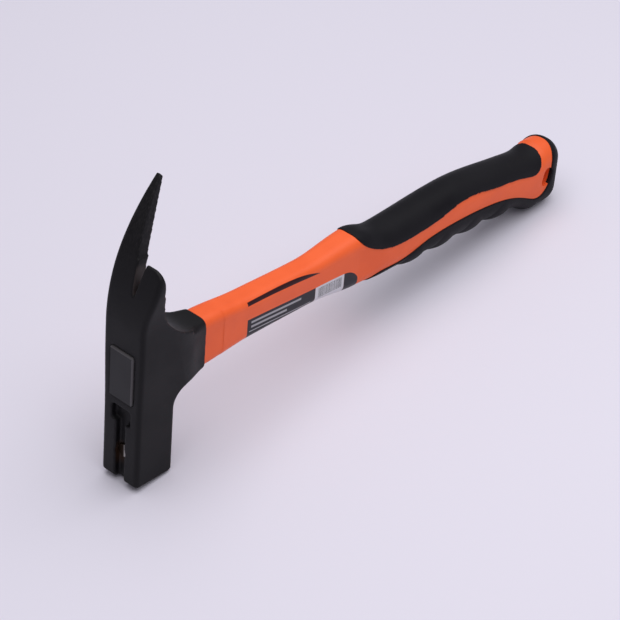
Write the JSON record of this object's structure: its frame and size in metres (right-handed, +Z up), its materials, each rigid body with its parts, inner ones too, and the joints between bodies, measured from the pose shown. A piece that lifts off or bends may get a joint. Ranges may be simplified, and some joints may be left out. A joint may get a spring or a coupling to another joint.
{
  "type": "roofing hammer",
  "caption": "Roofing hammer: forged head with square face, spike, nail puller and magnetic nail starter, on a fibreglass handle with a soft grip.",
  "frame": {"origin": "middle of the footprint on the table, with the hammer laid down on the heel of its striking face and the lobe of its butt", "axes": "+X runs along the handle from the head to the butt, +Y points to the spike's side of the head, +Z is up, from the striking face to the spike"},
  "size_m": [0.3512, 0.0334, 0.1698],
  "materials": {
    "head_steel": "black semi-gloss coating on forged steel",
    "magnet": "ground, slightly dulled",
    "eye_resin": "cast dark epoxy",
    "eye_plug": "black gloss",
    "fibreglass": "pultruded glass fibre in resin",
    "jacket": "orange satin moulding",
    "soft_grip": "fine matt grain",
    "label": "printed film"
  },
  "bodies": {
    "root": {"hammer_head": "head_steel", "nail_magnet": "magnet", "eye_resin": "eye_resin", "eye_plug": "eye_plug", "handle_core": "fibreglass", "handle_jacket": "jacket", "palm_pad": "soft_grip", "finger_pad": "soft_grip", "side_label": "label"}
  },
  "joints": []
}
